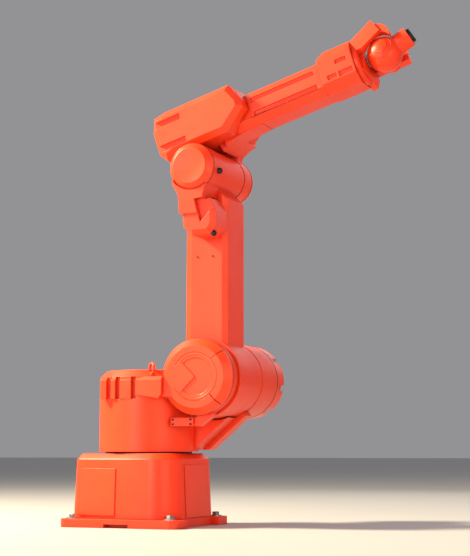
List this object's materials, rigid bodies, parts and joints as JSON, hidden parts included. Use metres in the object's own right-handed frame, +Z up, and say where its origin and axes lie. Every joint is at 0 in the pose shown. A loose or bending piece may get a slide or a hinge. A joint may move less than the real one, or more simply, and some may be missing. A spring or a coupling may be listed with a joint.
{
  "type": "industrial robot arm",
  "caption": "Articulated six-axis factory robot arm on a square pedestal, with turret, vertical lower arm, raised forearm and rolled wrist ending in a tool flange.",
  "frame": {"origin": "first axis at floor level, on the underside of the foot plate", "axes": "+X the way the arm reaches, +Y the robot's left, +Z up along the first axis"},
  "size_m": [1.2267, 0.583, 1.6845],
  "materials": {
    "orange_paint": "semi-gloss orange-red paint on castings",
    "dark_steel": "blackened steel"
  },
  "bodies": {
    "base": {"base_foot_plate": "orange_paint", "base_casting": "orange_paint", "base_side_cover_right": "orange_paint", "base_side_cover_left": "orange_paint", "base_front_cover": "orange_paint", "base_connector_panel": "orange_paint", "base_connectors": "dark_steel", "slewing_bearing_ring": "dark_steel"},
    "turret": {"turret_casting": "orange_paint", "shoulder_cover_right": "orange_paint", "shoulder_motor_housing": "orange_paint", "shoulder_motor_cover": "orange_paint", "shoulder_brace_outer": "orange_paint", "shoulder_brace_inner": "orange_paint", "turret_side_bracket": "orange_paint", "shoulder_reducer_right": "dark_steel", "shoulder_reducer_left": "dark_steel", "lifting_eyebolt": "orange_paint"},
    "lower_arm": {"lower_arm_casting": "orange_paint", "elbow_drive_housing": "orange_paint", "elbow_cover_right": "orange_paint", "elbow_reducer": "dark_steel", "arm_side_clip": "orange_paint"},
    "forearm": {"elbow_casting": "orange_paint", "forearm_motor_housing": "orange_paint", "forearm_beam": "orange_paint", "forearm_front_housing": "orange_paint"},
    "wrist_roll": {"wrist_yoke": "orange_paint"},
    "wrist_bend": {"wrist_bend_housing": "orange_paint"},
    "tool_flange": {"tool_flange": "dark_steel"}
  },
  "joints": [
    {"name": "axis_1_turn", "type": "hinge", "parent": "base", "child": "turret", "pos_m": [0, 0, 0.247], "axis": [0, 0, 1], "range_deg": [-170, 170]},
    {"name": "axis_2_shoulder", "type": "hinge", "parent": "turret", "child": "lower_arm", "pos_m": [0.247, 0, 0.501], "axis": [0, 1, 0], "range_deg": [-60, 85]},
    {"name": "axis_3_elbow", "type": "hinge", "parent": "lower_arm", "child": "forearm", "pos_m": [0.247, 0, 1.206], "axis": [0, -1, 0], "range_deg": [-75, 45]},
    {"name": "axis_4_roll", "type": "hinge", "parent": "forearm", "child": "wrist_roll", "pos_m": [0.87293, 0, 1.57144], "axis": [0.9553, 0, 0.2957], "range_deg": [-170, 170]},
    {"name": "axis_5_bend", "type": "hinge", "parent": "wrist_roll", "child": "wrist_bend", "pos_m": [0.87293, 0, 1.57144], "axis": [-0.0914, -0.9511, 0.2952], "range_deg": [-115, 80]},
    {"name": "axis_6_flange", "type": "hinge", "parent": "wrist_bend", "child": "tool_flange", "pos_m": [0.96546, 0.01006, 1.63247], "axis": [0.8313, 0.0903, 0.5484], "range_deg": [-360, 360]}
  ]
}
